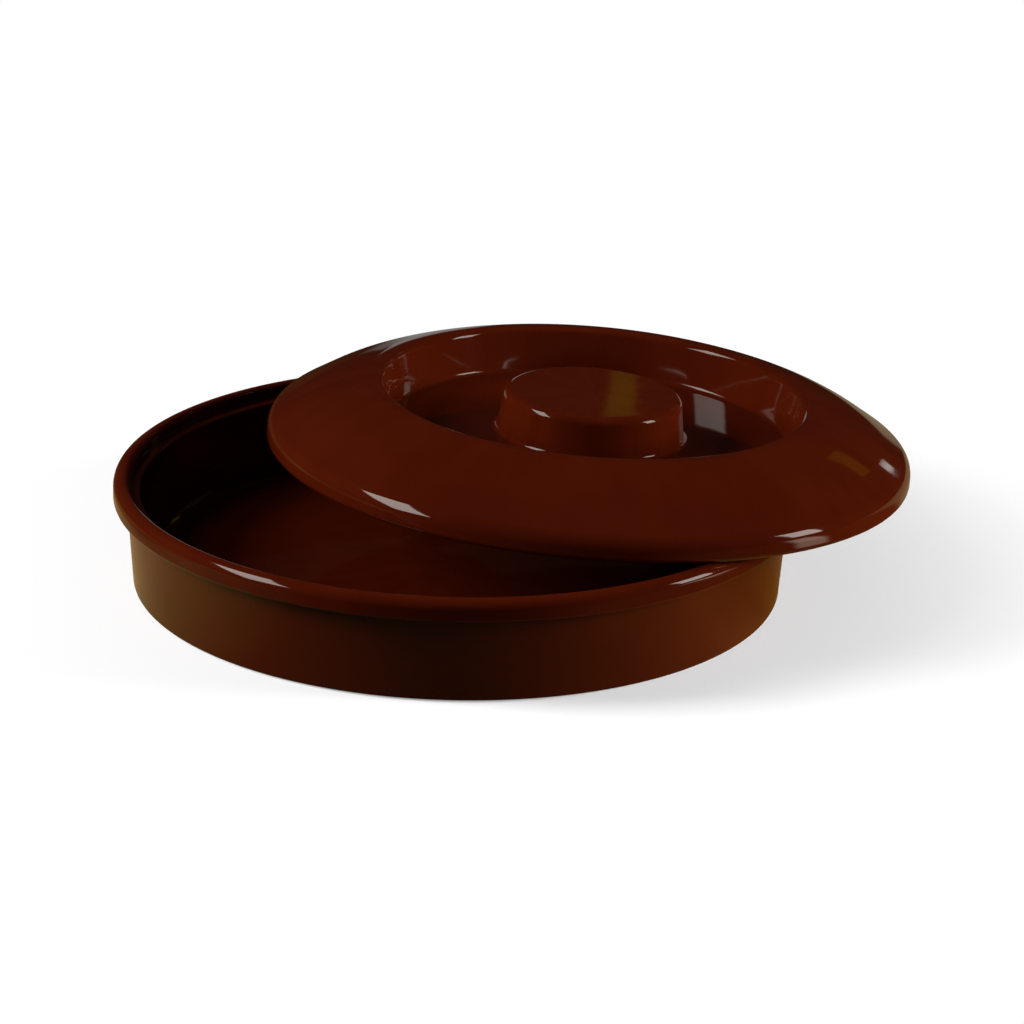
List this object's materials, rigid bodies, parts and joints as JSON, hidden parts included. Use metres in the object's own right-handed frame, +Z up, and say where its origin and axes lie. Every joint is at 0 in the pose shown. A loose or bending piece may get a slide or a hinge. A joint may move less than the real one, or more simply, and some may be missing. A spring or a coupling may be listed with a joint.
{
  "type": "tortilla warmer",
  "caption": "Shallow round serving dish with a ledged rim and a loose domed lid whose knob stands in a sunk well, for keeping tortillas warm at the table.",
  "frame": {"origin": "centre of the dish's foot, on the table", "axes": "+Z up along the dish's axis; +X to the right, the side the lid is slid towards; +Y to the back"},
  "size_m": [0.2279, 0.2101, 0.0541],
  "materials": {
    "brown_plastic": "high gloss, dark reddish brown"
  },
  "bodies": {
    "dish": {"dish": "brown_plastic"},
    "lid": {"lid": "brown_plastic"}
  },
  "joints": [
    {"name": "lid_lift", "type": "slide", "parent": "dish", "child": "lid", "axis": [0, 0, 1], "range_m": [0, 0.1]}
  ]
}
